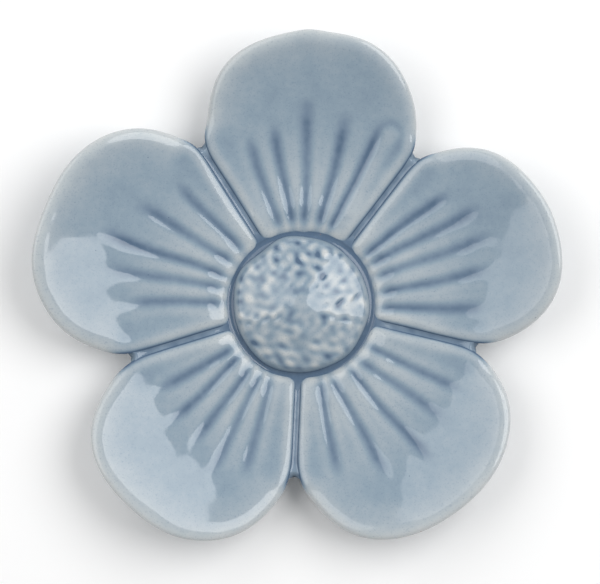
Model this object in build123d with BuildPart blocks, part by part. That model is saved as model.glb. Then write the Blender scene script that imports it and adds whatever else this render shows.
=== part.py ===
"""Flower-shaped ceramic mixing palette, in millimetres.

Five petal wells stand round a low domed boss on a disc base with a foot ring. Narrow webs of clay
close the seams between the petals. The origin is the middle of the boss, on the table; +Z is up,
and +Y runs to the back petal. Fired clay has no moving pieces, so every piece only meets its
neighbours face to face.
"""

import os
from collections import namedtuple
from math import atan2, copysign, cos, degrees, hypot, pi, radians, sin, sqrt

from build123d import *

# ---------------------------------------------------------------- foot, base and boss
FOOT_HEIGHT = 3.2
FOOT_OUTER_RADIUS = 31.0
FOOT_WALL = 4.6
FOOT_EDGE_ROUND = 1.2

BASE_THICKNESS = 3.0
BASE_LEDGE = 4.0  # how far the base disc stands out past the foot ring
BASE_EDGE_ROUND = 1.8

BOSS_RADIUS = 18.6
BOSS_HEIGHT = 9.0  # from the base disc to the top of the dome
BOSS_SKIRT = 2.4  # the upright wall under the dome
BOSS_EDGE_ROUND = 0.9
CHANNEL_WIDTH = 1.9  # the moat between the boss and the petals

# ---------------------------------------------------------------- the dish that the petals share
FLOOR_THICKNESS = 3.0  # petal clay over the base disc
FLOOR_RADIUS = 30.0  # the dish is level out to here
DISH_CURVE_RADIUS = 102.0  # and rises outside it on this arc
UNDERSIDE_CURVE_RADIUS = 90.0  # the underside rises outside the base disc on this one

# ---------------------------------------------------------------- petals, seams and veins
LOBE_STEPS = 24  # points on the curve round a lobe
SEAM_WIDTH = 1.3
INNER_CORNER_ROUND = 2.2
NOTCH_CORNER_ROUND = 4.5
TOP_EDGE_ROUND = 1.5
UNDER_EDGE_ROUND = 0.9

WEB_DROP = 1.7  # the webs' tops lie this far under the dish
WEB_REACH = 1.6  # how far past the notch a web's hollow end starts
WEB_END_RADIUS = 6.0  # the circle that hollows it

VEIN_RADIUS = 1.3
VEIN_DEPTH = 1.1
VEIN_RUN_IN = 3.5  # how far out from the channel the grooving tool cut deepest

SHELL_SPARE = 6.0  # how far the dish runs on past the longest petal before the petals are cut out
SAME_PLACE = 0.01  # heights or radii closer than this are the same

# Vein: the bearing where its groove starts, from the petal's middle; how far the groove then leans to
# the left of that bearing; and the radius where it has run out. Both angles are in degrees.
Vein = namedtuple("Vein", "bearing lean end_radius")
# Lobe: the rounded end of a petal, by its half length and half width. Power 2 makes it an ellipse and
# more makes it squarer; lean moves its left side out (above 0) or in, per unit of width.
Lobe = namedtuple("Lobe", "half_length half_width power lean")
# Petal: the bearing of its middle, its reach from the origin to the tip, its lobe and its veins.
Petal = namedtuple("Petal", "bearing reach lobe veins")

PETALS = {
    "petal_right": Petal(
        19.5,
        75.2,
        Lobe(27.4, 28.3, 2.45, -0.046),
        [
            Vein(18.8, -1.5, 56),
            Vein(10.5, -2.3, 60),
            Vein(0.5, 0, 60),
            Vein(-11.2, 4.2, 57),
            Vein(-22, 3, 56),
        ],
    ),
    "petal_back": Petal(
        87.0,
        77.4,
        Lobe(28.6, 30.3, 2.35, -0.01),
        [
            Vein(19.4, 2, 54),
            Vein(9.8, 3.8, 55),
            Vein(1, 0, 60),
            Vein(-9.8, -1.7, 58),
            Vein(-18.2, -5.2, 57),
        ],
    ),
    "petal_left": Petal(
        159.0,
        77.8,
        Lobe(26.8, 32.2, 2.15, 0.0),
        [
            Vein(19.5, 1, 53),
            Vein(8.8, 3, 58),
            Vein(0.4, 1.2, 62),
            Vein(-10.7, 0, 57),
            Vein(-21.2, -4, 53),
        ],
    ),
    "petal_front_left": Petal(
        231.7,
        74.7,
        Lobe(24.6, 28.6, 2.2, 0.0),
        [
            Vein(15.9, 8, 54),
            Vein(8, 4.4, 57),
            Vein(-1.4, 4.6, 53),
            Vein(-11.3, 3.4, 53),
            Vein(-19.7, -1.5, 51),
        ],
    ),
    "petal_front_right": Petal(
        307.8,
        72.6,
        Lobe(26.4, 31.5, 2.2, 0.0),
        [
            Vein(21, 5.2, 55),
            Vein(9.4, 8, 55),
            Vein(-1.2, 5, 60),
            Vein(-14.6, 6, 57),
            Vein(-24.4, -2.9, 54),
        ],
    ),
}

# Each seam's bearing, and the petals on its two sides.
SEAMS = {
    "seam_back_right": (52.5, "petal_right", "petal_back"),
    "seam_back_left": (122.5, "petal_back", "petal_left"),
    "seam_left": (197.0, "petal_left", "petal_front_left"),
    "seam_front": (267.5, "petal_front_left", "petal_front_right"),
    "seam_right": (346.5, "petal_front_right", "petal_right"),
}

# ---------------------------------------------------------------- sizes that follow from those
BASE_RADIUS = FOOT_OUTER_RADIUS + BASE_LEDGE
SEAT_HEIGHT = FOOT_HEIGHT + BASE_THICKNESS  # the base disc's top, where petals and boss sit
FLOOR_HEIGHT = SEAT_HEIGHT + FLOOR_THICKNESS
PETAL_INNER_RADIUS = BOSS_RADIUS + CHANNEL_WIDTH
SHELL_RADIUS = max(petal.reach for petal in PETALS.values()) + SHELL_SPARE
VEIN_LOW_RADIUS = PETAL_INNER_RADIUS + VEIN_RUN_IN
UNDERSIDE_START = max(BASE_RADIUS, FLOOR_RADIUS)


def arc_rise(run, curve_radius):
    """Height gained on an arc over a level run from where it starts to rise."""
    return curve_radius - sqrt(curve_radius**2 - max(run, 0.0) ** 2)


def top_height(radius):
    """Height of the petals' upper side at a distance from the axis."""
    return FLOOR_HEIGHT + arc_rise(radius - FLOOR_RADIUS, DISH_CURVE_RADIUS)


def under_height(radius):
    """Height of the petals' underside at a distance from the axis."""
    return SEAT_HEIGHT + arc_rise(radius - UNDERSIDE_START, UNDERSIDE_CURVE_RADIUS)


def inside_lobe(petal, along, across):
    """Whether a point, along and across the petal's middle line from the axis, is inside its lobe."""
    lobe = petal.lobe
    middle = petal.reach - lobe.half_length
    ahead = along - middle - lobe.lean * across
    share = abs(ahead) / (lobe.half_length if ahead > 0 else middle)
    return share**lobe.power + (abs(across) / lobe.half_width) ** lobe.power < 1


def lobe_radius(petal, bearing):
    """Distance from the axis to the petal's free edge along a bearing, by halving the interval."""
    turn = radians(bearing - petal.bearing)
    low, high = 0.0, 2 * petal.reach
    for _ in range(40):
        middle = (low + high) / 2
        if inside_lobe(petal, middle * cos(turn), middle * sin(turn)):
            low = middle
        else:
            high = middle
    return low


def lobe_points(petal):
    """Points round the closed lobe: a superellipse outside its widest place, drawn in to the axis inside."""
    lobe = petal.lobe
    middle = petal.reach - lobe.half_length
    points = []
    for step in range(LOBE_STEPS):
        turn = 2 * pi * step / LOBE_STEPS
        half_length = lobe.half_length if cos(turn) > 0 else middle
        across = copysign(lobe.half_width * abs(sin(turn)) ** (2 / lobe.power), sin(turn))
        ahead = copysign(half_length * abs(cos(turn)) ** (2 / lobe.power), cos(turn))
        points.append((middle + ahead + lobe.lean * across, across))
    return points


def dish_section(drop):
    """Half section of the dish's clay, with its top lowered by drop."""
    with BuildSketch(Plane.XZ) as section:
        with BuildLine():
            floor_end = (FLOOR_RADIUS, FLOOR_HEIGHT - drop)
            seat_end = (UNDERSIDE_START, SEAT_HEIGHT)
            rim_top = (SHELL_RADIUS, top_height(SHELL_RADIUS) - drop)
            rim_under = (SHELL_RADIUS, under_height(SHELL_RADIUS))
            Polyline(seat_end, (BOSS_RADIUS, SEAT_HEIGHT), (BOSS_RADIUS, FLOOR_HEIGHT - drop), floor_end)
            TangentArc(floor_end, rim_top, tangent=(1, 0))
            Line(rim_top, rim_under)
            TangentArc(seat_end, rim_under, tangent=(1, 0))
        make_face()
    return section.sketch


def seams_of(name):
    """Bearings of the two seams beside a petal."""
    return [bearing for bearing, *sides in SEAMS.values() if name in sides]


def petal_outline(name):
    """Plan of one petal: its lobe, kept between its two seams and outside the channel."""
    petal = PETALS[name]
    far = 2 * petal.reach
    rays = [radians(bearing - petal.bearing) for bearing in seams_of(name)]
    sides = sorted(atan2(sin(ray), cos(ray)) for ray in rays)
    with BuildSketch(Plane.XY.rotated((0, 0, petal.bearing))) as outline:
        with BuildLine():
            Spline(*lobe_points(petal), periodic=True)
        make_face()
        with BuildLine():
            Polyline((0, 0), *[(far * cos(side), far * sin(side)) for side in sides], close=True)
        make_face(mode=Mode.INTERSECT)
        for side in sides:
            with Locations(Location((0, 0, 0), (0, 0, degrees(side)))):
                Rectangle(far, SEAM_WIDTH, mode=Mode.SUBTRACT)
        Circle(PETAL_INNER_RADIUS, mode=Mode.SUBTRACT)
        corners = outline.vertices().sort_by(lambda corner: hypot(corner.X, corner.Y))
        fillet(corners[:2], radius=INNER_CORNER_ROUND)
        corners = outline.vertices().sort_by(lambda corner: hypot(corner.X, corner.Y))
        fillet(corners[-2:], radius=NOTCH_CORNER_ROUND)
    return outline.sketch


def vein_tool(vein):
    """Radius and centre height of the arc that the middle of the grooving tool followed."""
    run = vein.end_radius - VEIN_LOW_RADIUS
    lift = VEIN_DEPTH + top_height(vein.end_radius) - FLOOR_HEIGHT
    path_radius = (run**2 + lift**2) / (2 * lift)
    return path_radius, FLOOR_HEIGHT - VEIN_DEPTH + VEIN_RADIUS + path_radius


def web_plan(bearing, sides):
    """Plan of one web: what two petals leave open along their seam, with a hollow outer end."""
    notch_radius = min(lobe_radius(PETALS[side], bearing) for side in sides)
    hollow_centre = notch_radius + WEB_REACH + WEB_END_RADIUS
    with BuildSketch(Plane.XY.rotated((0, 0, bearing))) as plan:
        Rectangle(hollow_centre - WEB_END_RADIUS / 2, 2 * WEB_END_RADIUS, align=(Align.MIN, Align.CENTER))
        with Locations((hollow_centre, 0)):
            Circle(WEB_END_RADIUS, mode=Mode.SUBTRACT)
        Circle(PETAL_INNER_RADIUS, mode=Mode.SUBTRACT)
    return plan.sketch - [outlines[side] for side in sides]


def edges_at(piece, height, smooth_radius=None):
    """Edges of a piece that follow a height given by radius, but for the smooth one at smooth_radius."""
    chosen = []
    for edge in piece.edges():
        middle = edge.position_at(0.5)
        radius = hypot(middle.X, middle.Y)
        smooth = smooth_radius is not None and abs(radius - smooth_radius) < SAME_PLACE
        if abs(middle.Z - height(radius)) < SAME_PLACE and not smooth:
            chosen.append(edge)
    return chosen


def save(piece, name):
    """Label one finished piece and write its STEP file."""
    piece.label = name
    export_step(piece, f"parts/{name}.step")
    print(f"{name}: {piece.volume / 1000:.2f} cm3")


os.makedirs("parts", exist_ok=True)
outlines = {name: petal_outline(name) for name in PETALS}
petal_section = dish_section(drop=0)
web_section = dish_section(drop=WEB_DROP)

# ---------------------------------------------------------------- foot ring
with BuildPart() as foot_ring:
    with BuildSketch():
        Circle(FOOT_OUTER_RADIUS)
        Circle(FOOT_OUTER_RADIUS - FOOT_WALL, mode=Mode.SUBTRACT)
    extrude(amount=FOOT_HEIGHT)
    fillet(foot_ring.edges().group_by(Axis.Z)[0], radius=FOOT_EDGE_ROUND)
save(foot_ring.part, "foot_ring")

# ---------------------------------------------------------------- base disc, on the foot ring
with BuildPart() as base_disc:
    with BuildSketch(Plane.XY.offset(FOOT_HEIGHT)):
        Circle(BASE_RADIUS)
    extrude(amount=BASE_THICKNESS)
    fillet(base_disc.edges().group_by(Axis.Z)[0], radius=BASE_EDGE_ROUND)
save(base_disc.part, "base_disc")

# ---------------------------------------------------------------- domed boss, on the base disc
with BuildPart() as centre_boss:
    with BuildSketch(Plane.XZ):
        with BuildLine():
            crown = (0, SEAT_HEIGHT + BOSS_HEIGHT)
            dome_edge = (BOSS_RADIUS, SEAT_HEIGHT + BOSS_SKIRT)
            TangentArc(crown, dome_edge, tangent=(1, 0))
            Polyline(dome_edge, (BOSS_RADIUS, SEAT_HEIGHT), (0, SEAT_HEIGHT), crown)
        make_face()
    revolve(axis=Axis.Z)
    fillet(edges_at(centre_boss, lambda radius: SEAT_HEIGHT + BOSS_SKIRT), radius=BOSS_EDGE_ROUND)
save(centre_boss.part, "centre_boss")

# ---------------------------------------------------------------- petals, round the boss
for name, petal in PETALS.items():
    with BuildPart() as shell:
        revolve(petal_section, axis=Axis.Z)
        extrude(outlines[name], amount=top_height(SHELL_RADIUS), mode=Mode.INTERSECT)
        fillet(edges_at(shell, top_height, FLOOR_RADIUS), radius=TOP_EDGE_ROUND)
        fillet(edges_at(shell, under_height, UNDERSIDE_START), radius=UNDER_EDGE_ROUND)
        for vein in petal.veins:
            path_radius, centre_height = vein_tool(vein)
            start = Rot(Z=petal.bearing + vein.bearing) * Pos(X=VEIN_LOW_RADIUS, Z=centre_height)
            with Locations(start * Rot(Z=vein.lean) * Rot(X=90)):
                Torus(path_radius, VEIN_RADIUS, mode=Mode.SUBTRACT)
    save(shell.part, name)

# ---------------------------------------------------------------- webs, in the seams between petals
for name, (bearing, *sides) in SEAMS.items():
    plan = web_plan(bearing, sides)
    with BuildPart() as web:
        revolve(web_section, axis=Axis.Z)
        extrude(plan, amount=top_height(SHELL_RADIUS), mode=Mode.INTERSECT)
    save(web.part, name)
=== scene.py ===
# %% [markdown]
# # A flower-shaped mixing palette in glazed stoneware
#
# The real palette is one fired piece of clay. Five petals were pressed and set round a stippled
# boss, and then everything was dipped in one blue-grey glaze. The glaze runs while it is hot: it
# leaves the lips and ridges thin and pale, and it pools, dark and glossy, in every groove.
#
# This notebook builds each clay piece as a surface worked out with numpy, inside the measured
# frame, and gives every vertex the thickness of its glaze. The colour then follows the shape by
# itself.

import bpy
import numpy as np
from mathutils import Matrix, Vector


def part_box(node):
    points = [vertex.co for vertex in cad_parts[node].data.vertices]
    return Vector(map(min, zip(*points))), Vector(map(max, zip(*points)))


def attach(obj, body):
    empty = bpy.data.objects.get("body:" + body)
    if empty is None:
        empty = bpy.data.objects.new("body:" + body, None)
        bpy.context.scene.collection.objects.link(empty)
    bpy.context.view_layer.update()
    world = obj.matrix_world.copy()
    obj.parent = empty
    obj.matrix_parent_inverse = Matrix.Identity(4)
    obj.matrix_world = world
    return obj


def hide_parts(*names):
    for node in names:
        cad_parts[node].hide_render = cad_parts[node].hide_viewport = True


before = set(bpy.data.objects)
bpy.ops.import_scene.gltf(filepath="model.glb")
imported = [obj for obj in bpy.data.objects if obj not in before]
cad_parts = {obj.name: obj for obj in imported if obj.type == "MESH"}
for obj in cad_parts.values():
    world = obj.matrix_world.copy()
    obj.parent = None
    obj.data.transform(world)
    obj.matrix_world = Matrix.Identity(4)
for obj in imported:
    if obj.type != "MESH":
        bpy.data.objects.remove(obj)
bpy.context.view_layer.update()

MM = 0.001  # the frame is in metres, and everything below is worked out in millimetres


def corners_mm(node):
    """Lowest and highest corner of a frame node, in millimetres."""
    return [np.array(corner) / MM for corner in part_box(node)]


def node_radius(node):
    """Radius of a round frame node, in millimetres: half its width."""
    low, high = corners_mm(node)
    return (high[0] - low[0]) / 2


FOOT_TOP = corners_mm("foot_ring")[1][2]
SEAT = corners_mm("base_disc")[1][2]  # the top of the base disc, where petals and boss sit
BOSS_CROWN = corners_mm("centre_boss")[1][2]
BOSS_RADIUS = node_radius("centre_boss")
FOOT_RADIUS = node_radius("foot_ring")
BASE_RADIUS = node_radius("base_disc")
print("seat at", round(SEAT, 2), "mm, boss radius", round(BOSS_RADIUS, 2), "mm")

# %% [markdown]
# ## The dish
#
# All five petals share one shallow dish: level in the middle and rising on an arc, like the inside
# of a saucer. Reading it from one function keeps every piece in agreement where they meet.

# %% The dish's heights
FLOOR = SEAT + 3.0  # the level middle part of the petals' tops
FLOOR_RADIUS = 30.0  # where the dish starts to rise
DISH_CURVE = 102.0  # radius of the arc that it rises on
UNDERSIDE_CURVE = 90.0  # radius of the underside's arc
CHANNEL_WIDTH = 1.9  # between the boss and the petals
SEAM_WIDTH = 1.3  # between two petals
PETAL_INNER = BOSS_RADIUS + CHANNEL_WIDTH


def arc_rise(run, curve):
    """Height gained on an arc: curve - sqrt(curve^2 - run^2), and nothing before it starts."""
    return curve - np.sqrt(curve**2 - np.maximum(run, 0.0) ** 2)


def dish_top(radius):
    """Height of the dish's upper side: level to the floor radius, then rising on its arc."""
    return FLOOR + arc_rise(radius - FLOOR_RADIUS, DISH_CURVE)


def dish_under(radius):
    """Height of the dish's underside, level over the base disc and then rising on its own arc."""
    return SEAT + arc_rise(radius - BASE_RADIUS, UNDERSIDE_CURVE)


print("the dish rises", round(float(arc_rise(75 - FLOOR_RADIUS, DISH_CURVE)), 1), "mm to its lip")


# %% [markdown]
# ## Hand-made unevenness
#
# A pressed clay surface is never a perfect arc. The cheapest smooth unevenness is a sum of plane
# waves with random directions: it has no grid and repeats nowhere here, and a seed fixes it.


# %% Smooth random waves and soft steps
WAVES = 18


def wander(x, y, wavelength, seed):
    """Smooth unevenness of about unit size: the sum of 18 sine waves of nearly one wavelength,
    each with its own random heading and phase, times sqrt(2 / 18). The seed fixes the draw."""
    rng = np.random.default_rng(seed)
    total = np.zeros(np.broadcast(x, y).shape)
    lowest, highest = (0, 0.6, 0), (2 * np.pi, 1.4, 2 * np.pi)
    for heading, stretch, phase in rng.uniform(lowest, highest, (WAVES, 3)):
        along = x * np.cos(heading) + y * np.sin(heading)
        total += np.sin(2 * np.pi * stretch * along / wavelength + phase)
    return total * np.sqrt(2 / WAVES)


def soft_step(value):
    """0 below 0, 1 above 1, and 3v^2 - 2v^3 between."""
    held = np.clip(value, 0.0, 1.0)
    return held * held * (3 - 2 * held)


def hump(value):
    """A bell of height 1: exp(-v^2 / 2)."""
    return np.exp(-0.5 * value**2)


print("half-way up a soft step:", soft_step(0.5), "and at 2 on a bell:", round(hump(2), 3))


# %% [markdown]
# ## From grids of points to closed meshes
#
# Every piece here is a stack of closed rings: from the middle of its top, outwards, over the edge,
# and back in underneath. One function turns such a stack into a mesh. Each ring is joined to the
# next by quads, and the first and last rings close on a pole.


# %% Rings into a mesh
def skin(name, rings, glaze, hoop=False):
    """Mesh through rings[k, i] (mm), ring k joined to ring k + 1. The ends close on poles at their
    rings' middles, or the last ring joins the first where the piece is a hoop. glaze[k, i] is kept
    as a vertex attribute."""
    count, around = rings.shape[:2]
    points = rings.reshape(-1, 3)
    values = glaze.reshape(-1)
    here = np.arange(around)
    after = np.roll(here, -1)
    first = np.arange(count if hoop else count - 1)[:, None] * around
    second = (first + around) % (count * around)
    quads = np.stack([first + here, second + here, second + after, first + after], axis=-1)
    faces = quads.reshape(-1, 4).tolist()
    if not hoop:
        top_pole, under_pole = len(points), len(points) + 1
        last = (count - 1) * around
        faces += np.stack([np.full(around, top_pole), here, after], axis=-1).tolist()
        ends = [np.full(around, under_pole), last + after, last + here]
        faces += np.stack(ends, axis=-1).tolist()
        points = np.vstack([points, rings[0].mean(axis=0), rings[-1].mean(axis=0)])
        values = np.append(values, [glaze[0].mean(), glaze[-1].mean()])
    mesh = bpy.data.meshes.new(name)
    mesh.from_pydata((points * MM).tolist(), [], faces)
    stored = mesh.attributes.new("glaze", "FLOAT", "POINT")
    stored.data.foreach_set("value", values.astype(np.float32))
    mesh.shade_smooth()
    piece = bpy.data.objects.new(name, mesh)
    bpy.context.scene.collection.objects.link(piece)
    print(f"{name}: {len(points)} points, {2 * len(faces)} triangles at most")
    return piece


def settle(piece, node, material):
    """Put a finished piece in its frame node's place, riding on the body, with its material."""
    piece.data.materials.append(material)
    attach(piece, "root")
    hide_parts(node)


# %% [markdown]
# ## The glaze
#
# This is a semi-opaque reduction-blue stoneware glaze, dipped and fired glossy. Glass over clay
# has one sharp reflection, so it is a dielectric with a low roughness. Its colour is read from a
# ramp by the glaze thickness that each vertex carries: thin glaze lets the pale body through,
# thick glaze is a deep slate blue. Fired glaze also has three small signs of the kiln: a soft
# cloudiness some millimetres wide, a fine speckle of pigment, and a few dark specks and rusty
# iron spots.


# %% Colours and nodes
def srgb(code):
    """sRGB hex colour to linear RGBA: c / 12.92 to 0.04045, else ((c + 0.055) / 1.055)^2.4."""
    channels = np.array([int(code[place:place + 2], 16) for place in (1, 3, 5)]) / 255
    linear = np.where(channels <= 0.04045, channels / 12.92, ((channels + 0.055) / 1.055) ** 2.4)
    return (*linear.tolist(), 1.0)


def add_node(tree, kind, inputs=None, **properties):
    """Add a node, set its properties, and set or link its inputs by name or number."""
    made = tree.nodes.new(kind)
    for name, value in properties.items():
        setattr(made, name, value)
    for socket, value in (inputs or {}).items():
        if isinstance(value, bpy.types.NodeSocket):
            tree.links.new(value, made.inputs[socket])
        else:
            made.inputs[socket].default_value = value
    return made


def per_metre(size_mm):
    """Texture scale for a pattern whose features are size_mm apart, in Object coordinates."""
    return 1 / (size_mm * MM)


print("a mid grey in linear light:", round(srgb("#808080")[0], 3))
print("scale of a 1.6 mm pattern:", per_metre(1.6))

# %% The glaze material
GLAZE_STOPS = [  # thickness from 0, bare on a sharp crest, to 1, pooled
    (0.00, "#c4c8c9"),
    (0.20, "#b5bdc1"),
    (0.40, "#a2aeb7"),
    (0.60, "#8c9eac"),
    (0.80, "#778a9d"),
    (1.00, "#546a82"),
]
SPECKLE = "#5f758f"
SPOTS = [  # mean spacing and radius in mm, colour, and the share of the cells that have a spot
    (5.0, 0.2, "#4a6079", 0.55),  # dark cobalt specks
    (14.0, 0.24, "#9a7357", 0.5),  # rusty iron spots
]


def make_glaze():
    """Glossy reduction-blue glaze whose colour follows the vertex attribute "glaze"."""
    material = bpy.data.materials.new("reduction_blue_glaze")
    material.use_nodes = True
    tree = material.node_tree
    tree.nodes.clear()
    place = add_node(tree, "ShaderNodeTexCoord").outputs["Object"]
    thickness = add_node(tree, "ShaderNodeAttribute", attribute_name="glaze").outputs["Fac"]

    # clouds 7 mm wide and a mottle 1.6 mm wide move the colour a little along the ramp
    clouds = add_node(
        tree, "ShaderNodeTexNoise", {"Vector": place, "Scale": per_metre(7.0), "Detail": 2.0}
    ).outputs["Fac"]
    mottle = add_node(
        tree, "ShaderNodeTexNoise", {"Vector": place, "Scale": per_metre(1.6), "Detail": 3.0}
    ).outputs["Fac"]
    cloudy = add_node(
        tree, "ShaderNodeMath", {0: clouds, 1: 0.22, 2: -0.11}, operation="MULTIPLY_ADD"
    ).outputs[0]
    mottled = add_node(
        tree, "ShaderNodeMath", {0: mottle, 1: 0.14, 2: -0.07}, operation="MULTIPLY_ADD"
    ).outputs[0]
    moved = add_node(tree, "ShaderNodeMath", {0: thickness, 1: cloudy}, operation="ADD").outputs[0]
    moved = add_node(
        tree, "ShaderNodeMath", {0: moved, 1: mottled}, operation="ADD", use_clamp=True
    ).outputs[0]
    ramp = add_node(tree, "ShaderNodeValToRGB", {"Fac": moved})
    stops = ramp.color_ramp.elements
    while len(stops) < len(GLAZE_STOPS):
        stops.new(0.5)
    for stop, (position, code) in zip(stops, GLAZE_STOPS):
        stop.position = position
        stop.color = srgb(code)
    colour = ramp.outputs["Color"]

    # pigment grains are 0.15 to 0.3 mm apart, drawn at 0.45 mm so that they show
    grain = add_node(
        tree, "ShaderNodeTexNoise", {"Vector": place, "Scale": per_metre(0.45), "Detail": 1.0}
    ).outputs["Fac"]
    grain = add_node(
        tree,
        "ShaderNodeMapRange",
        {"Value": grain, "From Min": 0.56, "From Max": 0.78, "To Min": 0.0, "To Max": 0.32},
    ).outputs["Result"]
    colour = add_node(
        tree,
        "ShaderNodeMix",
        {"Factor": grain, 6: colour, 7: srgb(SPECKLE)},
        data_type="RGBA",
    ).outputs[2]

    for spacing, radius, code, share in SPOTS:
        cells = add_node(
            tree, "ShaderNodeTexVoronoi", {"Vector": place, "Scale": per_metre(spacing)}
        )
        spot = add_node(
            tree,
            "ShaderNodeMapRange",
            {
                "Value": cells.outputs["Distance"],
                "From Min": 0.5 * radius / spacing,
                "From Max": 1.1 * radius / spacing,
                "To Min": 1.0,
                "To Max": 0.0,
            },
        ).outputs["Result"]
        pick = add_node(
            tree, "ShaderNodeSeparateColor", {"Color": cells.outputs["Color"]}
        ).outputs["Red"]
        chosen = add_node(
            tree, "ShaderNodeMath", {0: pick, 1: share}, operation="LESS_THAN"
        ).outputs[0]
        for factor in (chosen, 0.75):
            spot = add_node(
                tree, "ShaderNodeMath", {0: spot, 1: factor}, operation="MULTIPLY"
            ).outputs[0]
        colour = add_node(
            tree, "ShaderNodeMix", {"Factor": spot, 6: colour, 7: srgb(code)}, data_type="RGBA"
        ).outputs[2]

    # thin glaze is a little less glassy than pooled glaze
    gloss = add_node(
        tree,
        "ShaderNodeMapRange",
        {"Value": moved, "From Min": 0.0, "From Max": 0.5, "To Min": 0.1, "To Max": 0.05},
    ).outputs["Result"]
    # orange peel: swellings 2.4 mm wide and a few thousandths of a millimetre high
    peel = add_node(
        tree, "ShaderNodeTexNoise", {"Vector": place, "Scale": per_metre(2.4), "Detail": 2.0}
    ).outputs["Fac"]
    relief = add_node(
        tree, "ShaderNodeBump", {"Height": peel, "Distance": 0.004 * MM, "Strength": 1.0}
    ).outputs["Normal"]
    shader = add_node(
        tree,
        "ShaderNodeBsdfPrincipled",
        {"Base Color": colour, "Roughness": gloss, "IOR": 1.5, "Normal": relief},
    )
    add_node(tree, "ShaderNodeOutputMaterial", {"Surface": shader.outputs[0]})
    return material


glaze_material = make_glaze()
print("glaze nodes:", len(glaze_material.node_tree.nodes))

# %% [markdown]
# ## A petal's outline
#
# The frame's petal has a narrow upright wall all round its edge. The points of that wall, seen
# from above and sorted by their angle round the petal's middle, are its outline. Reading it here
# means that the visible petal can't drift away from the measured one.

# %% Outlines from the frame
OUTLINE_STEPS = 1600
UPRIGHT = 0.02  # a face counts as wall if its normal's height is less than this


def smooth_loop(values, sigma):
    """A closed loop of values blurred with a bell sigma steps wide: each wave of its Fourier
    series is multiplied by exp(-2 (pi sigma frequency)^2)."""
    waves = np.fft.rfftfreq(len(values))
    damping = np.exp(-2 * (np.pi * sigma * waves) ** 2)
    if values.ndim == 2:
        damping = damping[:, None]
    return np.fft.irfft(np.fft.rfft(values, axis=0) * damping, n=len(values), axis=0)


def resample_loop(loop, places):
    """Points at the given shares of a closed loop's length, by straight lines between its
    points."""
    closed = np.vstack([loop, loop[:1]])
    length = np.concatenate([[0], np.cumsum(np.linalg.norm(np.diff(closed, axis=0), axis=1))])
    at = places * length[-1]
    return np.stack([np.interp(at, length, closed[:, axis]) for axis in (0, 1)], axis=1)


def frame_points(node):
    """The points of a frame node's mesh, in millimetres."""
    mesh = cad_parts[node].data
    points = np.empty(len(mesh.vertices) * 3)
    mesh.vertices.foreach_get("co", points)
    return points.reshape(-1, 3) / MM


def frame_outline(node):
    """Plan of a frame petal as an anticlockwise loop of points, in millimetres."""
    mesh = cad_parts[node].data
    points = frame_points(node)
    normals = np.empty(len(mesh.polygons) * 3)
    mesh.polygons.foreach_get("normal", normals)
    corners = np.empty(len(mesh.polygons) * 3, dtype=np.int32)
    mesh.polygons.foreach_get("vertices", corners)
    upright = np.abs(normals.reshape(-1, 3)[:, 2]) < UPRIGHT
    wall = points[np.unique(corners.reshape(-1, 3)[upright])][:, :2]
    middle = (wall.min(axis=0) + wall.max(axis=0)) / 2
    angle = np.arctan2(wall[:, 1] - middle[1], wall[:, 0] - middle[0])
    order = np.unique(np.round(angle, 4), return_index=True)[1]
    return resample_loop(wall[order], np.arange(OUTLINE_STEPS) / OUTLINE_STEPS)


outlines = {node: frame_outline(node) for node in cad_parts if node.startswith("petal_")}
for node, loop in outlines.items():
    print(node, "outline", np.round(loop.min(axis=0), 1), "to", np.round(loop.max(axis=0), 1))

# %% [markdown]
# ## Petals
#
# A petal could be cut from a disc and its edges bevelled, but a bevel has one size all round, and
# a potter's edge hasn't: the free lip is broad and round, and the edges along the seams are tight
# rolls. So the rings follow the outline. The outer ones step inwards along an ellipse whose width
# and depth change smoothly round the petal. The inner ones shrink to the petal's middle, and take
# their height from the dish, the vein grooves and the rolls. The same ellipse idea closes the edge
# below.

# %% What the maker did to each petal
RINGS_LIP, RINGS_WELL, RINGS_WALL, RINGS_UNDER_EDGE, RINGS_UNDER = 22, 104, 3, 8, 24
PETAL_AROUND = 520
SHARP_BLUR, NOTCH_BLUR = 0.5, 3.2  # smoothing of the outline near the channel, and far out

LIP_WIDTH, LIP_DROP = 4.3, 2.4  # the free lip's quarter ellipse
WIDE_LIP, WIDE_LIP_BEARING = 1.5, 228  # the front left lip was thumbed out this much wider
WIDE_LIP_SPREAD = 0.45  # in radians
ROLL_WIDTH, ROLL_DROP = 2.4, 1.3  # the same along a seam or the channel
ROLL_UNEVEN = 0.7  # how much a roll's width wanders
ROLL_RISE = 0.15  # clay pushed up beside a seam
UNDER_WIDTH, UNDER_DROP = 1.8, 1.5  # the quarter ellipse that closes a free edge underneath
TIP_WIDTH, TIP_DROP = 8.5, 2.0  # the long fall of each petal's tip towards the channel
GROOVE_DEPTH = 0.42
GROOVE_HALF_WIDTH = 1.15
GROOVE_FADE = 10  # length over which a groove runs out
SHOULDER_AT = 2.5  # from a groove's line to the crest beside it
PEAK, PEAK_BEARING, PEAK_WIDTH = 0.5, 88.3, 2.2  # a small pinch on the back petal's lip
OVERHANG, MORE_IN_FRONT, LESS_AT_BACK = 0.15, 0.5, 0.4  # how far lips stand out past the frame's
OPENING = 5.5  # gap over which a seam's roll opens out into a lip

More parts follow.
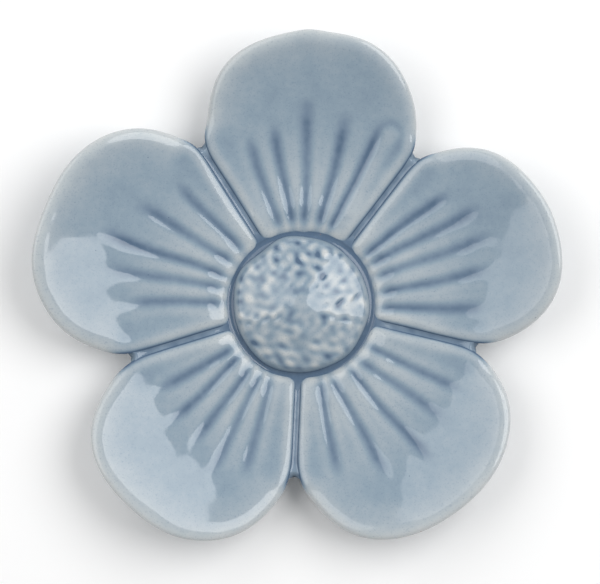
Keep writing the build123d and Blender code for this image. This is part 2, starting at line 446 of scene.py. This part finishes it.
# For each petal: the bearing of its middle, then for each groove the bearing where it starts,
# from that middle, how far it leans to the left of that bearing, and the radius at which it has
# run out.
VEIN_START = 24.0
VEINS = {
    "petal_right": (
        19.5, [(18.8, -1.5, 56), (10.5, -2.3, 60), (0.5, 0, 60), (-11.2, 4.2, 57), (-22, 3, 56)]
    ),
    "petal_back": (
        87.0, [(19.4, 2, 54), (9.8, 3.8, 55), (1, 0, 60), (-9.8, -1.7, 58), (-18.2, -5.2, 57)]
    ),
    "petal_left": (
        159.0, [(19.5, 1, 53), (8.8, 3, 58), (0.4, 1.2, 62), (-10.7, 0, 57), (-21.2, -4, 53)]
    ),
    "petal_front_left": (
        231.7, [(15.9, 8, 54), (8, 4.4, 57), (-1.4, 4.6, 53), (-11.3, 3.4, 53), (-19.7, -1.5, 51)]
    ),
    "petal_front_right": (
        307.8, [(21, 5.2, 55), (9.4, 8, 55), (-1.2, 5, 60), (-14.6, 6, 57), (-24.4, -2.9, 54)]
    ),
}
RIDGED_PETAL = "petal_back"
RIDGE = ((14.5, 27.0), (25.0, 48.0))  # both ends of the raised ridge beside its last groove
RIDGE_RISE = 0.26
POOLS = [(59.8, 29.4, 2.6, 0.13), (2.0, 57.0, 1.6, 0.12)]  # place, size and extra glaze of each
print("grooves:", sum(len(veins) for _, veins in VEINS.values()))


def segment_distance(x, y, start, end):
    """Distance in plan from each point to a straight line between two points."""
    start, end = np.array(start), np.array(end)
    run = end - start
    share = ((x - start[0]) * run[0] + (y - start[1]) * run[1]) / (run @ run)
    held = np.clip(share, 0, 1)
    return np.hypot(x - start[0] - held * run[0], y - start[1] - held * run[1])


def groove_pattern(x, y, bearing, veins, seed):
    """How far into a groove each point is: 1 on a groove's line, falling off as a bell across it,
    and fading along it at its end. Also the shoulders, which are 1 where the clay beside a groove
    is highest, and fall off as a bell on both sides of that."""
    rng = np.random.default_rng(seed)
    grooves = np.zeros(x.shape)
    nearest = np.full(x.shape, 9.0)
    for offset, lean, end in veins:
        sway, phase, width, strength = rng.uniform((0.1, 0, 0.9, 0.85), (0.3, 6.28, 1.15, 1.1))
        start = np.radians(bearing + offset)
        turn = start + np.radians(lean)
        start_x, start_y = VEIN_START * np.cos(start), VEIN_START * np.sin(start)
        along = (x - start_x) * np.cos(turn) + (y - start_y) * np.sin(turn)
        across = (y - start_y) * np.cos(turn) - (x - start_x) * np.sin(turn)
        across = across + sway * np.sin(along / 5 + phase)
        left = end - VEIN_START - along
        spread = GROOVE_HALF_WIDTH * width * (0.8 + 0.35 * soft_step(along / 20))
        fade = strength * soft_step(left / GROOVE_FADE)
        grooves = np.maximum(grooves, fade * hump(across / spread))
        nearest = np.minimum(nearest, np.abs(across) + 9 * (1 - soft_step((left + 2) / 8)))
    return grooves, hump((nearest - SHOULDER_AT) / 1.2)


# %% [markdown]
# ## A petal's visible edge
#
# Glaze rounds an edge off and clay wanders, so the visible edge is the frame's outline, blurred a
# little and moved in or out by a fraction of a millimetre. Whether a stretch of it is a free lip
# or a roll beside a seam is measured, as its distance from the nearest other petal.


# %% The edge
def softened(loop, step):
    """An outline blurred a little near the channel and more where it is far out, which opens the
    notches gently, as a thumb does. The change is a soft step from 36 to 48 mm."""
    sharp = smooth_loop(loop, SHARP_BLUR / step)
    soft = smooth_loop(loop, NOTCH_BLUR / step)
    share = soft_step((np.linalg.norm(loop, axis=1) - 36) / 12)[:, None]
    return sharp * (1 - share) + soft * share


def petal_edge(node):
    """Samples round a petal's outline: points, inward normals, and how free of neighbours each is.
    That is a soft step of the gap to the nearest petal, or to the channel, from 0 on a seam or the
    channel to 1 on the lip. The points are outline + inward normal (waver - overhang - peak)."""
    loop = outlines[node]
    step = np.linalg.norm(np.roll(loop, -1, axis=0) - loop, axis=1).mean()
    gap = np.full(len(loop), np.inf)
    for other, neighbour in outlines.items():
        if other != node:
            apart = np.linalg.norm(loop[:, None] - neighbour[None, ::4], axis=2).min(axis=1)
            gap = np.minimum(gap, apart)
    inward = np.linalg.norm(loop, axis=1) - PETAL_INNER
    free = soft_step((np.minimum(gap - SEAM_WIDTH, inward) - 0.3) / OPENING)
    free = smooth_loop(free, 1.2 / step)

    loop = softened(loop, step)
    forward = np.roll(loop, -1, axis=0) - np.roll(loop, 1, axis=0)
    normal = np.stack([-forward[:, 1], forward[:, 0]], axis=1)
    normal /= np.linalg.norm(normal, axis=1, keepdims=True)
    seed = sorted(outlines).index(node)
    waver = 0.22 * wander(loop[:, 0], loop[:, 1], 32, 100 + seed) * free
    bearing = np.degrees(np.arctan2(loop[:, 1], loop[:, 0]))
    peak = PEAK * hump((bearing - PEAK_BEARING) / PEAK_WIDTH)
    overhang = OVERHANG + MORE_IN_FRONT * soft_step(-loop[:, 1] / 35)
    overhang -= LESS_AT_BACK * soft_step(loop[:, 1] / 60)
    loop = loop + normal * (waver - overhang * free - peak)[:, None]
    normal = smooth_loop(normal, NOTCH_BLUR / step)
    normal /= np.linalg.norm(normal, axis=1, keepdims=True)

    # samples crowd together where the detail is: on the channel's side and along the seams
    near_channel = hump(inward / 6)
    spacing = 0.46 * free + (1 - free) * (0.36 - 0.2 * near_channel)
    share = np.concatenate([[0], np.cumsum(1 / spacing)])
    wanted = np.arange(PETAL_AROUND) / PETAL_AROUND * share[-1]
    at = np.interp(wanted, share, np.arange(len(share)))
    low = at.astype(int) % OUTLINE_STEPS
    high = (low + 1) % OUTLINE_STEPS
    part = (at - np.floor(at))[:, None]
    packed = np.column_stack([loop, normal, free])
    packed = packed[low] * (1 - part) + packed[high] * part
    return packed[:, :2], packed[:, 2:4], packed[:, 4]


edges = {node: petal_edge(node) for node in sorted(outlines)}
for node, (edge, _, free) in edges.items():
    print(node, "free lip", round(100 * float(free.mean())), "% of its samples")


# %% Heights and glaze of a petal
WELL_GLAZE, GROOVE_GLAZE, SHOULDER_THIN = 0.56, 0.4, 0.17
LIP_FADE = 4.2  # how far in from a free lip the glaze stays thin
# At the back right the lips' pale band is narrower, partly from the glaze and partly as painted
# shade on their inner slopes, which face away from the lights.
SHADED_LIP_NARROWING, SHADED_LIP_BEARING = 2.2, 55  # and how much less far at the back right
SEAM_GLAZE = 0.7  # what ran down a roll into the seam
print("glaze in a well", WELL_GLAZE, "and in its grooves", round(WELL_GLAZE + GROOVE_GLAZE, 2))


def petal_height(x, y, node):
    """Height of a petal's glazed top away from its edges, and its glaze thickness. Height is the
    dish, less the grooves and the tip's fall, plus the maker's unevenness. Glaze is well + pool in
    the well's middle + grooves - shoulders, so it is thick in the grooves and thin on the ridges
    between."""
    bearing, veins = VEINS[node]
    seed = sorted(VEINS).index(node)
    radius = np.hypot(x, y)
    grooves, shoulders = groove_pattern(x, y, bearing, veins, 10 + seed)
    outer = soft_step((radius - 45) / 30)
    start = soft_step((radius - PETAL_INNER - 0.3) / 5)
    depth = GROOVE_DEPTH * start * (1 - 0.4 * soft_step((radius - 28) / 20))
    height = dish_top(radius) - depth * grooves
    height -= TIP_DROP * np.clip((PETAL_INNER + TIP_WIDTH - radius) / TIP_WIDTH, 0, 1) ** 2
    height += (0.03 + 0.04 * outer) * wander(x, y, 34, 20 + seed)
    height += 0.008 * wander(x, y, 9, 30 + seed)
    inner = soft_step((58 - radius) / 26)
    near_tip = hump((radius - 23) / 3.2)
    glaze = WELL_GLAZE + 0.05 * hump((radius - 60) / 9)
    glaze = glaze - inner * (0.07 + SHOULDER_THIN * shoulders)
    glaze += GROOVE_GLAZE * grooves * (0.4 + 0.6 * start) - 0.03 * near_tip * (1 - grooves)
    if node == RIDGED_PETAL:
        from_ridge = segment_distance(x, y, *RIDGE)
        height += RIDGE_RISE * soft_step((3.6 - from_ridge) / 3)
        glaze -= 0.1 * soft_step((3 - from_ridge) / 2.2)
        glaze += 0.14 * hump((from_ridge - 3.5) / 0.8) * soft_step((radius - 44) / 10)
    for place_x, place_y, size, extra in POOLS:
        glaze = glaze + extra * hump(np.hypot(x - place_x, y - place_y) / size)
    return height, glaze


# %% The top of a petal
def lip_size(edge, free):
    """Width and depth of the rounded edge at each sample: the roll's, and the lip's where the edge
    is free. The lip is widest at one bearing, and the rolls are shallower at the tip."""
    bearing = np.arctan2(edge[:, 1], edge[:, 0])
    from_widest = np.angle(np.exp(1j * (bearing - np.radians(WIDE_LIP_BEARING))))
    widest = hump(from_widest / WIDE_LIP_SPREAD)
    roll = ROLL_WIDTH + ROLL_UNEVEN * wander(edge[:, 0], edge[:, 1], 26, 110).clip(-1, 1.6)
    width = roll + (LIP_WIDTH + WIDE_LIP * widest - roll) * free
    at_tip = soft_step((PETAL_INNER + 2.5 - np.linalg.norm(edge, axis=1)) / 2)
    return width, ROLL_DROP + (LIP_DROP - ROLL_DROP) * free - 0.6 * at_tip


def petal_top(node, edge, normal, free, middle):
    """Plan, height and glaze of a petal's top. Its height is petal_height + roll - drop, where the
    drop is depth (1 - sin a) in the lip and nothing in the well. Its glaze thins towards a free
    lip as 1 - e^(-distance / fade), where fade is shorter at the back right, partly as painted
    shade, and it thickens on the flank of a seam; a band further in from a seam's roll is
    darkened as painted shade."""
    lip_width, lip_drop = lip_size(edge, free)
    reach = np.linalg.norm(edge - middle, axis=1).mean()

    # plan of the well's rings, from the lip (q = 0) to the middle (q = 1)
    q = np.linspace(0, 1, RINGS_WELL + 1)[:-1, None, None]
    start = edge + normal * lip_width[:, None]
    straight = start + normal * q * reach
    shrunk = middle + (start - middle) * (1 - q)
    share = soft_step(q / 0.3)
    well = (straight * (1 - share) + shrunk * share)[::-1]

    # plan of the lip's rings: inset = width (1 - cos a), where a runs to 90 degrees at the well
    angle = np.linspace(np.pi / 2, 0, RINGS_LIP + 1)[1:, None]
    inset = lip_width * (1 - np.cos(angle))
    lip = edge + normal * inset[:, :, None]
    top = np.concatenate([well, lip])
    height, glaze = petal_height(top[..., 0], top[..., 1], node)
    from_edge = np.linalg.norm(top - edge, axis=2)
    seam = 1 - free
    height += ROLL_RISE * seam * hump((from_edge - 2.8) / 1.2)
    drop = np.concatenate([np.zeros((RINGS_WELL, PETAL_AROUND)), lip_drop * (1 - np.sin(angle))])
    height -= drop
    # Beside a seam the glaze is thin on the roll's crest, 1.9 mm in, and a band 5.5 mm in is
    # darkened as painted shade in the hollow there.
    glaze += seam * (0.09 * hump((from_edge - 5.5) / 2.2) - 0.2 * hump((from_edge - 1.9) / 1.0))
    bearing = np.arctan2(edge[:, 1], edge[:, 0])
    fade = LIP_FADE - SHADED_LIP_NARROWING * hump((bearing - np.radians(SHADED_LIP_BEARING)) / 0.6)
    glaze *= 1 - free * np.exp(-from_edge / fade)
    glaze += seam * SEAM_GLAZE * soft_step((drop / lip_drop - 0.12) / 0.6)
    return top, height, glaze


for node, (edge, _, free) in edges.items():
    widths = lip_size(edge, free)[0]
    print(node, "edge rounded over", widths.min().round(1), "to", widths.max().round(1), "mm")


# %% The rest of a petal
def petal_below(edge, normal, free, middle, sill, sill_glaze):
    """Plan, height and glaze of a petal below its lip: straight down the wall, in along a quarter
    ellipse, height = underside + drop (1 - sin a), and along the underside to its middle."""
    size = 0.45 + 0.55 * free  # the ellipse is smaller along the seams
    foot_of_wall = dish_under(np.linalg.norm(edge, axis=1)) + UNDER_DROP * size
    down = np.linspace(0, 1, RINGS_WALL + 1)[1:, None]
    wall_height = sill + (np.minimum(foot_of_wall, sill - 0.05) - sill) * down
    angle = np.linspace(0, np.pi / 2, RINGS_UNDER_EDGE + 1)[1:, None]
    tuck = UNDER_WIDTH * size * (1 - np.cos(angle))
    tucked = edge + normal * tuck[:, :, None]
    q = np.linspace(0, 1, RINGS_UNDER + 1)[1:, None, None] * 0.97
    below = np.concatenate([tucked, tucked[-1] * (1 - q) + middle * q])
    below_height = dish_under(np.linalg.norm(below, axis=2))
    below_height[:RINGS_UNDER_EDGE] += UNDER_DROP * size * (1 - np.sin(angle))
    below_glaze = 0.5 - 0.4 * free * hump(np.linalg.norm(below - edge, axis=2) / 2.5)
    plan = np.concatenate([np.broadcast_to(edge, (RINGS_WALL, *edge.shape)), below])
    wall_glaze = np.broadcast_to(sill_glaze, (RINGS_WALL, PETAL_AROUND))
    height = np.concatenate([wall_height, below_height])
    return plan, height, np.concatenate([wall_glaze, below_glaze])


def petal_rings(node):
    """All rings of one petal from the middle of its well to the middle of its underside."""
    edge, normal, free = edges[node]
    middle = (edge.min(axis=0) + edge.max(axis=0)) / 2

    # towards the channel the rings step in more nearly to the middle, so that they never cross
    turn = 0.7 * soft_step((PETAL_INNER + 9 - np.linalg.norm(edge, axis=1)) / 7)[:, None]
    to_middle = (middle - edge) / np.linalg.norm(middle - edge, axis=1, keepdims=True)
    normal = normal * (1 - turn) + to_middle * turn

    top = petal_top(node, edge, normal, free, middle)
    below = petal_below(edge, normal, free, middle, top[1][-1], top[2][-1])
    plan, height, glaze = (np.concatenate(parts) for parts in zip(top, below))
    return np.concatenate([plan, height[..., None]], axis=2), glaze


# %% Build the petals
def folded(rings):
    """Share of the plan's quads on the top that are turned over, which should be none."""
    plan = rings[: RINGS_WELL + RINGS_LIP, :, :2]
    out = plan[1:] - plan[:-1]
    around = np.roll(plan, -1, axis=1) - plan
    turn = out[..., 0] * around[:-1, :, 1] - out[..., 1] * around[:-1, :, 0]
    return float((turn <= 0).mean())


for node in sorted(outlines):
    rings, thickness = petal_rings(node)
    print(node, "folded share", round(folded(rings), 5))
    petal = skin(f"{node}_glazed", rings, thickness)
    settle(petal, node, glaze_material)

# %% [markdown]
# ## The boss
#
# The middle was stippled with a blunt tool while it was soft, and the glaze then filled most of
# each pit. So the glazed surface is only gently pitted while its colour changes strongly. Separate
# pits on a regular spiral would look machine-made. A sum of random waves about a pit wide gives
# the irregular network of pits and crests instead, and the same numbers set both the relief and
# the colour.

# %% Boss
BOSS_AROUND, BOSS_RINGS = 420, 150
PIT_WIDTH = 2.7
PIT_DEPTH = 0.045
DOME_FALL = 5.4  # from the crown to the boss's radius
BOSS_EDGE, EDGE_DROP = 1.9, 2.5  # width and depth of the boss's rounded edge
BOSS_SWELL = 0.8  # glaze and soft clay beyond the frame's radius
BOSS_GLAZE, PIT_GLAZE = 0.44, 0.2


def stipple(x, y, seed):
    """Depth of the stipple, about 1 in its pits and -1 on its crests. Three sets of random waves,
    of about a pit's width, make an irregular network; it is broader and weaker in the middle, and
    stretched sideways at the front."""
    round_pits = np.zeros(x.shape)
    long_pits = np.zeros(x.shape)
    for number, stretch in enumerate((1.75, 1.35, 1.05)):
        wave = stretch * PIT_WIDTH
        round_pits += wander(x, y, wave, seed + number)
        long_pits += wander(0.74 * x, 0.98 * y + 0.3 * x, wave, seed + number)
    front = soft_step((-y - 3) / 9)
    depth = round_pits * (1 - front) + long_pits * front
    middle = 1 - soft_step((np.hypot(x, y) - 3) / 7)
    coarse = wander(x, y, 2.6 * PIT_WIDTH, seed + 3)
    return 0.58 * depth * (1 - 0.6 * middle) + 0.5 * coarse * middle


def boss_rings():
    """Rings of the boss: a dome, height = crown - fall (radius / boss radius)^1.6, with a rounded
    edge, pits and a slightly uneven rim."""
    angle = np.linspace(0, 2 * np.pi, BOSS_AROUND, endpoint=False)
    uneven = 0.25 * wander(18 * np.cos(angle), 18 * np.sin(angle), 16, 51)
    rim = BOSS_RADIUS + BOSS_SWELL + uneven
    share = np.sin(np.linspace(0, np.pi / 2, BOSS_RINGS + 1)[1:, None]) ** 0.75
    radius = share * rim
    x, y = radius * np.cos(angle), radius * np.sin(angle)
    from_edge = rim - radius
    inside = soft_step((from_edge - 0.2) / 1.5)
    pits = stipple(x, y, 52) * inside
    height = BOSS_CROWN - DOME_FALL * (radius / BOSS_RADIUS) ** 1.6 - PIT_DEPTH * pits
    height += 0.06 * wander(x, y, 8, 56)
    inset = np.clip(from_edge / BOSS_EDGE, 0, 1)
    drop = 1 - np.sqrt(1 - (1 - inset) ** 2)
    height -= EDGE_DROP * drop
    # darker towards the back of the dome, and painted shade on its crown, which reflects no
    # softbox
    back_darker_crown_shade = 0.12 * soft_step((y + 2) / 16) + 0.1 * hump(radius / 6)
    # painted shade on the front of the boss's rounded edge, which faces away from the lights
    front_rim_shade = soft_step((-y - 6) / 10) * hump(from_edge / 1.7)
    glaze = BOSS_GLAZE + back_darker_crown_shade + PIT_GLAZE * pits + 0.25 * front_rim_shade
    glaze += 0.6 * soft_step((drop - 0.4) / 0.5)
    top = np.stack([x, y, height], axis=2)
    flat = np.stack([x[-1], y[-1], np.full(BOSS_AROUND, SEAT)], axis=1)
    rings = np.concatenate([top, flat[None], flat[None] * (0.5, 0.5, 1)])
    glaze = np.concatenate([glaze, np.ones((2, BOSS_AROUND))])
    return rings, glaze


boss = skin("centre_boss_stippled", *boss_rings())
settle(boss, "centre_boss", glaze_material)

# %% [markdown]
# ## The base disc and the pool in the channel
#
# Between the boss and the petals the glaze ran together and stayed liquid longest, so the
# channel's floor is a small concave pool that climbs a little at both walls. It belongs to the
# base disc, which carries it. The disc's underside is glazed too, thinly.


# %% Base disc
def turned(profile, around):
    """Rings of a profile turned about the axis: (radius, height) gives (radius cos a, radius sin
    a, height), where a runs round the circle."""
    angle = np.linspace(0, 2 * np.pi, around, endpoint=False)
    x, y = profile[:, :1] * np.cos(angle), profile[:, :1] * np.sin(angle)
    return np.stack([x, y, np.broadcast_to(profile[:, 1:], x.shape)], axis=2)


def quarter(centre, width, drop, start, end, steps):
    """Profile points of a rounded corner: centre + (width cos a, drop sin a), a in degrees."""
    angle = np.radians(np.linspace(start, end, steps))
    return np.stack([centre[0] + width * np.cos(angle), centre[1] + drop * np.sin(angle)], axis=1)


POOL_LEVEL = FLOOR - 2.15
POOL_CURL, POOL_CLIMB = 0.25, 0.35  # rise at the channel's walls, and the most it climbs
POOL_SHIFT = 0.7  # the petals' side of the channel leans back, so the pool's middle is further out
POOL_INNER, POOL_OUTER = BOSS_RADIUS - 0.6, PETAL_INNER + 4.5  # it runs in under boss and petals
POOL_STEP = 0.2  # from the pool's ends down to the seat
BASE_CORNER, BASE_ROUND = 0.6, 1.8  # the disc's upper and lower edge
corner_middle = (BASE_RADIUS - BASE_CORNER, SEAT - BASE_CORNER)
round_middle = (BASE_RADIUS - BASE_ROUND, FOOT_TOP + BASE_ROUND)
pool_radius = np.linspace(POOL_INNER, POOL_OUTER, 60)
pool_middle = (BOSS_RADIUS + PETAL_INNER) / 2 + POOL_SHIFT
pool_height = POOL_LEVEL + POOL_CURL * ((pool_radius - pool_middle) / (CHANNEL_WIDTH / 2)) ** 2
pool_height = np.minimum(pool_height, POOL_LEVEL + POOL_CLIMB)
base_profile = np.vstack(
    [
        [(0.4 * BOSS_RADIUS, SEAT), (POOL_INNER - POOL_STEP, SEAT)],
        np.stack([pool_radius, pool_height], axis=1),
        [(POOL_OUTER + POOL_STEP, SEAT), (0.8 * BASE_RADIUS, SEAT), (corner_middle[0], SEAT)],
        quarter(corner_middle, BASE_CORNER, BASE_CORNER, 90, 0, 6)[1:],
        quarter(round_middle, BASE_ROUND, BASE_ROUND, 0, -90, 12),
        [(FOOT_RADIUS, FOOT_TOP), (0.5 * FOOT_RADIUS, FOOT_TOP), (0.2 * FOOT_RADIUS, FOOT_TOP)],
    ]
)
base_rings = turned(base_profile, 360)
in_channel = hump((base_profile[:, :1] - pool_middle) / 4) * (base_profile[:, 1:] > SEAT)
base_glaze = np.broadcast_to(0.55 + 0.45 * in_channel, base_rings.shape[:2])
base = skin("base_disc_glazed", base_rings, base_glaze)
settle(base, "base_disc", glaze_material)

# %% [markdown]
# ## Webs in the seams
#
# Where two petals meet, a thin web of clay was pressed in from below. Glaze runs down both petals
# into the seam and pools on it. A web's section is a strip with a hollow top, carried from the
# channel out to the notch. There the petals part, so the strip widens to fill the gap, and its end
# is drawn in.

# %% Webs
WEB_ALONG, WEB_ACROSS = 90, 24
WEB_OVERLAP = 0.5  # how far a web runs in under each petal's roll
WEB_WIDEST = 3.4  # the most that a web reaches to one side
WEB_REACH = 7.0  # a petal further off than this isn't beside the seam
WEB_DEPTH, WEB_HOLLOW = 1.25, 0.5  # how far the web lies below the dish, and its hollow's depth
WEB_FLARE, WEB_DRAWN_IN = 6.0, 1.6  # length of the widening end, and how far its middle draws in
WEB_END, WEB_END_DROP = 1.4, 0.9  # length and depth of its rounded end
WEB_GLAZE = 0.85


def gap_sides(turn, u):
    """Where the petals on the two sides of a seam have their edges: distance across from the
    seam's ray, at each distance u along it, to the right and to the left."""
    sides = []
    for side in (-1, 1):
        nearest = np.full(u.shape, np.inf)
        for loop, _, _ in edges.values():
            along = loop[:, 0] * np.cos(turn) + loop[:, 1] * np.sin(turn)
            across = side * (loop[:, 1] * np.cos(turn) - loop[:, 0] * np.sin(turn))
            close = (across > 0) & (across < WEB_REACH) & (along > 0)
            if close.any():
                order = np.argsort(along[close])
                found = np.interp(u, along[close][order], across[close][order])
                nearest = np.minimum(nearest, found)
        sides.append(nearest)
    return sides


def web_rings(node, bearing, seed):
    """Sections of a web along its seam. In each one the top is hollow, height = level + rise v^2,
    where v runs from -1 to 1 across, and the underside is flat."""
    turn = np.radians(bearing)
    points = frame_points(node)
    end = (points[:, 0] * np.cos(turn) + points[:, 1] * np.sin(turn)).max()
    u = np.linspace(PETAL_INNER - 0.9, end, WEB_ALONG)
    right, left = (np.minimum(side, WEB_WIDEST) for side in gap_sides(turn, u))
    v = np.cos(np.linspace(np.pi, 0, WEB_ACROSS))
    across = np.where(v < 0, (right + WEB_OVERLAP)[:, None] * v, (left + WEB_OVERLAP)[:, None] * v)
    flare = soft_step((u - (end - WEB_FLARE)) / WEB_FLARE)[:, None]
    along = u[:, None] - WEB_DRAWN_IN * flare * (1 - v**2)
    end_round = 1 - np.sqrt(1 - np.clip((u - end + WEB_END) / WEB_END, 0, 1) ** 2)[:, None]
    fall = TIP_DROP * np.clip((PETAL_INNER + TIP_WIDTH - u) / TIP_WIDTH, 0, 1)[:, None] ** 2
    top = dish_top(u)[:, None] - WEB_DEPTH - fall + WEB_HOLLOW * v**2 - WEB_END_DROP * end_round
    under = dish_under(u)[:, None] + 0.25 + WEB_END_DROP * end_round
    under = np.minimum(np.broadcast_to(under, top.shape), top - 0.15)
    section_u = np.concatenate([along, along[:, ::-1]], axis=1)
    section_v = np.concatenate([across, across[:, ::-1]], axis=1)
    section_z = np.concatenate([top, under[:, ::-1]], axis=1)
    x = section_u * np.cos(turn) - section_v * np.sin(turn)
    y = section_u * np.sin(turn) + section_v * np.cos(turn)
    glaze = np.broadcast_to(WEB_GLAZE - 0.12 * flare, x.shape) + 0.03 * wander(x, y, 5, seed)
    return np.stack([x, y, section_z], axis=2), glaze


SEAMS = {  # the bearing of each seam, in degrees
    "seam_back_right": 52.5,
    "seam_back_left": 122.5,
    "seam_left": 197.0,
    "seam_front": 267.5,
    "seam_right": 346.5,
}
for number, (node, bearing) in enumerate(SEAMS.items()):
    web = skin(f"{node}_web", *web_rings(node, bearing, 60 + number))
    settle(web, node, glaze_material)

# %% [markdown]
# ## The foot ring
#
# Potters wipe the glaze off the foot before firing, or it would weld itself to the kiln shelf.
# What is left bare is pale, matte and faintly sandy stoneware. The same surface function works for
# a hoop: its last ring joins its first.

# %% Bare stoneware
SANDY, TOASTED, SAND_SPECK = "#c9bdab", "#b59f86", "#7d6a57"


def make_stoneware():
    """Unglazed stoneware: matte, with fine sand specks and a faint toasting."""
    material = bpy.data.materials.new("bare_stoneware")
    material.use_nodes = True
    tree = material.node_tree
    tree.nodes.clear()
    place = add_node(tree, "ShaderNodeTexCoord").outputs["Object"]
    toast = add_node(
        tree, "ShaderNodeTexNoise", {"Vector": place, "Scale": per_metre(9.0), "Detail": 3.0}
    ).outputs["Fac"]
    colour = add_node(
        tree,
        "ShaderNodeMix",
        {"Factor": toast, 6: srgb(SANDY), 7: srgb(TOASTED)},
        data_type="RGBA",
    ).outputs[2]
    sand = add_node(
        tree, "ShaderNodeTexNoise", {"Vector": place, "Scale": per_metre(0.5), "Detail": 2.0}
    ).outputs["Fac"]
    specks = add_node(
        tree,
        "ShaderNodeMapRange",
        {"Value": sand, "From Min": 0.62, "From Max": 0.72, "To Min": 0.0, "To Max": 0.6},
    ).outputs["Result"]
    colour = add_node(
        tree, "ShaderNodeMix", {"Factor": specks, 6: colour, 7: srgb(SAND_SPECK)}, data_type="RGBA"
    ).outputs[2]
    relief = add_node(
        tree, "ShaderNodeBump", {"Height": sand, "Distance": 0.08 * MM, "Strength": 1.0}
    ).outputs["Normal"]
    shader = add_node(
        tree,
        "ShaderNodeBsdfPrincipled",
        {"Base Color": colour, "Roughness": 0.85, "IOR": 1.5, "Normal": relief},
    )
    add_node(tree, "ShaderNodeOutputMaterial", {"Surface": shader.outputs[0]})
    return material


stoneware = make_stoneware()
print("bare stoneware nodes:", len(stoneware.node_tree.nodes))

# %% Foot ring
FOOT_WALL = 4.6
FOOT_ROUND = 1.2
FOOT_BEVEL, FOOT_LET_IN = 0.3, 0.2  # the ring's upper corners, and how far it is let into the disc
inner = FOOT_RADIUS - FOOT_WALL
ring_top, bevel_end = FOOT_TOP + FOOT_LET_IN, FOOT_TOP - FOOT_BEVEL
foot_profile = np.vstack(
    [
        [(FOOT_RADIUS - FOOT_BEVEL, ring_top), (FOOT_RADIUS, bevel_end)],
        quarter((FOOT_RADIUS - FOOT_ROUND, FOOT_ROUND), FOOT_ROUND, FOOT_ROUND, 0, -90, 10),
        quarter((inner + FOOT_ROUND, FOOT_ROUND), FOOT_ROUND, FOOT_ROUND, -90, -180, 10),
        [(inner, bevel_end), (inner + FOOT_BEVEL, ring_top)],
    ]
)
foot_rings = turned(foot_profile, 300)
foot = skin("foot_ring_bare", foot_rings, np.zeros(foot_rings.shape[:2]), hoop=True)
settle(foot, "foot_ring", stoneware)

# %% [markdown]
# ## Camera, floor and light
#
# The palette is looked at from straight above with a long lens, so its outline shows no
# perspective. Two large oval softboxes stand left and right of it, leaning in from the back, and a
# long weak one stands behind. In a glossy glaze they appear as the pale, sharp-edged patches on
# the petals, and that is what makes it look wet.

# %% Camera
VIEW_WIDTH = 169.2  # what the camera takes in at the height of the lips
VIEW_MIDDLE = (-0.4, 3.6)
LENS, SENSOR = 260.0, 36.0  # a long lens flattens the perspective
RIM_HEIGHT = 18.0

camera_data = bpy.data.cameras.new("overhead")
camera_data.lens = LENS
camera_data.sensor_width = SENSOR
camera_data.clip_end = 10
camera = bpy.data.objects.new("overhead", camera_data)
camera_height = VIEW_WIDTH * LENS / SENSOR + RIM_HEIGHT
camera.location = (VIEW_MIDDLE[0] * MM, VIEW_MIDDLE[1] * MM, camera_height * MM)
bpy.context.scene.collection.objects.link(camera)
bpy.context.scene.camera = camera
print("camera", round(camera_height * MM, 2), "m above the floor")

# %% Floor
FLOOR_HALF = 3.0  # in metres
corners = [(-1, -1, 0), (1, -1, 0), (1, 1, 0), (-1, 1, 0)]
floor_mesh = bpy.data.meshes.new("floor")
floor_mesh.from_pydata((np.array(corners) * FLOOR_HALF).tolist(), [], [(0, 1, 2, 3)])
floor = bpy.data.objects.new("floor", floor_mesh)
bpy.context.scene.collection.objects.link(floor)
# uncoated white paper: matte, so it shows only soft shadows
paper = bpy.data.materials.new("white_paper")
paper.use_nodes = True
paper_shader = paper.node_tree.nodes["Principled BSDF"]
paper_shader.inputs["Base Color"].default_value = srgb("#fbfbfb")
paper_shader.inputs["Roughness"].default_value = 0.9
floor_mesh.materials.append(paper)
print("floor", 2 * FLOOR_HALF, "m square")


# %% Light
def softbox(name, place, width, length, watts):
    """An oval soft light at a place in metres, turned to face the palette."""
    data = bpy.data.lights.new(name, "AREA")
    data.shape = "ELLIPSE"
    data.size, data.size_y = width, length
    data.energy = watts
    light = bpy.data.objects.new(name, data)
    light.location = place
    light.rotation_euler = Vector(place).to_track_quat("Z", "Y").to_euler()
    bpy.context.scene.collection.objects.link(light)
    print(name, watts, "W,", width, "by", length, "m")


softbox("softbox_right", place=(0.58, 0.25, 0.81), width=0.94, length=0.78, watts=6.7)
softbox("softbox_left", place=(-0.60, 0.23, 0.81), width=1.2, length=0.8, watts=4.3)
softbox("softbox_back", place=(0.0, 1.1, 0.5), width=1.6, length=0.5, watts=2.0)

# an even, weaker light from all round fills the shadows
world = bpy.data.worlds.new("room")
bpy.context.scene.world = world
world.use_nodes = True
world.node_tree.nodes["Background"].inputs["Color"].default_value = srgb("#ffffff")
world.node_tree.nodes["Background"].inputs["Strength"].default_value = 0.34
bpy.context.scene.view_settings.view_transform = "Standard"
